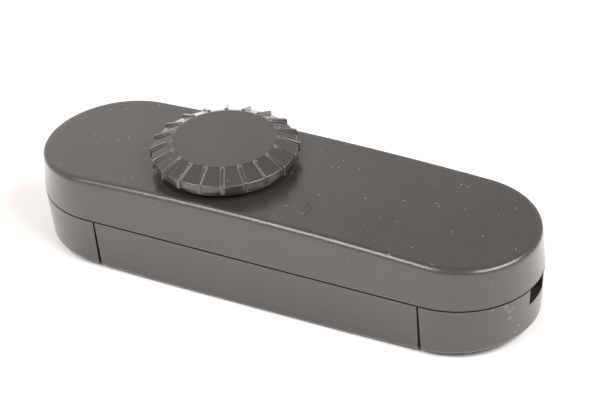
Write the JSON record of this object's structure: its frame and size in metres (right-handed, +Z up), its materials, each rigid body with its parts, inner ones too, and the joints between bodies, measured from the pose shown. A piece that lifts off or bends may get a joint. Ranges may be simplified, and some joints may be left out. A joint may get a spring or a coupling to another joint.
{
  "type": "inline lamp dimmer",
  "caption": "Inline cord dimmer: crowned oblong black casing with a ribbed press and turn knob, and cord slots at both ends under screwed terminal covers.",
  "frame": {"origin": "on the surface that the dimmer stands on, under the middle of the casing", "axes": "+Z up through the knob side, +X along the casing away from the knob, +Y across it"},
  "size_m": [0.1174, 0.036, 0.0298],
  "materials": {
    "casing_plastic": "fine moulded texture, satin",
    "knob_plastic": "fine moulded texture, satin",
    "inner_plastic": "moulded, matt",
    "light_plastic": "moulded, matt",
    "steel": "zinc plated",
    "brass": "nickel free, drawn",
    "tinned_wire": "tinned",
    "board_laminate": "solder mask",
    "epoxy": "moulded epoxy",
    "film_case": "moulded case",
    "varistor_coat": "dipped lacquer",
    "resistor_coat": "dipped lacquer",
    "ferrite": "sintered",
    "winding_wire": "enamelled copper wire",
    "aluminium": "rolled",
    "can_sleeve": "shrunk sleeve",
    "fuse_glass": "clear tube"
  },
  "bodies": {
    "casing": {"top_cover": "casing_plastic", "base_centre": "casing_plastic", "terminal_cover_left": "casing_plastic", "terminal_cover_right": "casing_plastic", "terminal_cover_screws": "steel", "base_screws": "steel", "cord_clamp_screws": "steel", "board_screws": "steel", "transistor_screw": "steel", "terminal_screws": "steel", "cord_clamp_left": "inner_plastic", "cord_clamp_right": "inner_plastic", "circuit_board": "board_laminate", "component_leads": "tinned_wire", "control_pins": "tinned_wire", "control_chip": "epoxy", "choke_core": "ferrite", "choke_winding": "winding_wire", "electrolytic_capacitor": "can_sleeve", "film_capacitor": "film_case", "varistor": "varistor_coat", "resistors": "resistor_coat", "heat_sink": "aluminium", "transistor": "epoxy", "fuse_tube": "fuse_glass", "fuse_caps": "tinned_wire", "fuse_clips": "brass", "terminal_block_left": "light_plastic", "terminal_block_right": "light_plastic", "terminal_clamps": "brass", "potentiometer_housing": "inner_plastic", "resistance_track": "board_laminate", "switch_lid": "inner_plastic", "switch_housing": "inner_plastic", "switch_dome": "steel"},
    "plunger": {"switch_plunger": "light_plastic"},
    "knob_and_shaft": {"knob": "knob_plastic", "control_shaft": "light_plastic"},
    "wiper": {"wiper_rotor": "light_plastic", "wiper_brush": "brass"}
  },
  "joints": [
    {"name": "knob_press", "type": "slide", "parent": "casing", "child": "plunger", "axis": [0, 0, -1], "range_m": [0, 0.0005], "stiffness_N_per_m": 2000, "springref_m": -0.001, "deforming": ["switch_dome"]},
    {"name": "knob_turn", "type": "hinge", "parent": "plunger", "child": "knob_and_shaft", "pos_m": [-0.0143, 0, 0.0256], "axis": [0, 0, -1], "range_deg": [0, 280]},
    {"name": "wiper_turn", "type": "hinge", "parent": "casing", "child": "wiper", "pos_m": [-0.0143, 0, 0.0134], "axis": [0, 0, -1], "range_deg": [0, 280]}
  ],
  "couplings": [
    {"joint": "wiper_turn", "follows": "knob_turn", "ratio": 1}
  ]
}
